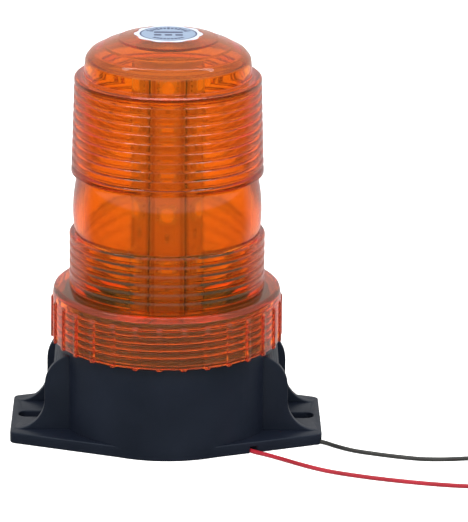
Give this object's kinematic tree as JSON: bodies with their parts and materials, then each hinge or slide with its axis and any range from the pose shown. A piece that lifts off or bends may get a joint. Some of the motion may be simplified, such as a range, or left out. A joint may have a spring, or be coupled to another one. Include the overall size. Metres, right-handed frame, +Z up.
{
  "type": "warning beacon light",
  "caption": "Amber LED warning beacon: ribbed screw-on lens over a six-sided LED tower, black two-ear mounting base and a pair of bare red and black leads.",
  "frame": {"origin": "centre of the base's underside, on the lens axis", "axes": "+Z up along the lens axis, X through the two mounting ears, -Y is the front, and the leads leave towards +X"},
  "size_m": [0.1794, 0.0902, 0.1243],
  "materials": {
    "base_plastic": "moulded ABS, fine satin grain",
    "amber_lens": "clear amber polycarbonate, polished",
    "seal_rubber": "moulded rubber",
    "sticker": "printed vinyl film",
    "strip_board": "white solder mask",
    "led_package": "white LED body with a yellow window",
    "green_board": "green solder mask",
    "zinc_steel": "zinc plated",
    "solder": "bright solder",
    "capacitor_black": "shrink sleeve",
    "capacitor_blue": "shrink sleeve",
    "ferrite": "ferrite with copper winding",
    "chip_black": "moulded epoxy",
    "resistor_black": "glazed chip",
    "ceramic_tan": "ceramic chip",
    "red_pvc": "soft PVC insulation",
    "black_pvc": "soft PVC insulation",
    "tinned_copper": "tinned strands"
  },
  "bodies": {
    "base": {"base_housing": "base_plastic", "led_strip_1": "strip_board", "led_strip_2": "strip_board", "led_strip_3": "strip_board", "led_strip_4": "strip_board", "led_strip_5": "strip_board", "led_strip_6": "strip_board", "leds_1": "led_package", "leds_2": "led_package", "leds_3": "led_package", "leds_4": "led_package", "leds_5": "led_package", "leds_6": "led_package", "tower_top_board": "strip_board", "driver_board": "green_board", "board_screws": "zinc_steel", "tower_solder_joints": "solder", "input_capacitor": "capacitor_black", "output_capacitor": "capacitor_blue", "power_inductor": "ferrite", "bridge_rectifier": "chip_black", "driver_chip": "chip_black", "switch_transistor": "chip_black", "flyback_diode": "chip_black", "chip_resistors": "resistor_black", "chip_capacitors": "ceramic_tan", "lead_grommet": "seal_rubber", "lead_solder_joints": "solder", "red_lead": "red_pvc", "black_lead": "black_pvc", "red_lead_tip": "tinned_copper", "black_lead_tip": "tinned_copper"},
    "seal": {"lens_seal": "seal_rubber"},
    "lens": {"lens": "amber_lens", "lens_sticker": "sticker"}
  },
  "joints": [
    {"name": "lens_rise", "type": "slide", "parent": "base", "child": "seal", "axis": [0, 0, 1], "range_m": [0, 0.00496]},
    {"name": "lens_turn", "type": "hinge", "parent": "seal", "child": "lens", "pos_m": [0, 0, 0.0366], "axis": [0, 0, 1], "range_deg": [0, 810]}
  ],
  "couplings": [
    {"joint": "lens_rise", "follows": "lens_turn", "m_per_rad": 0.00035014}
  ]
}
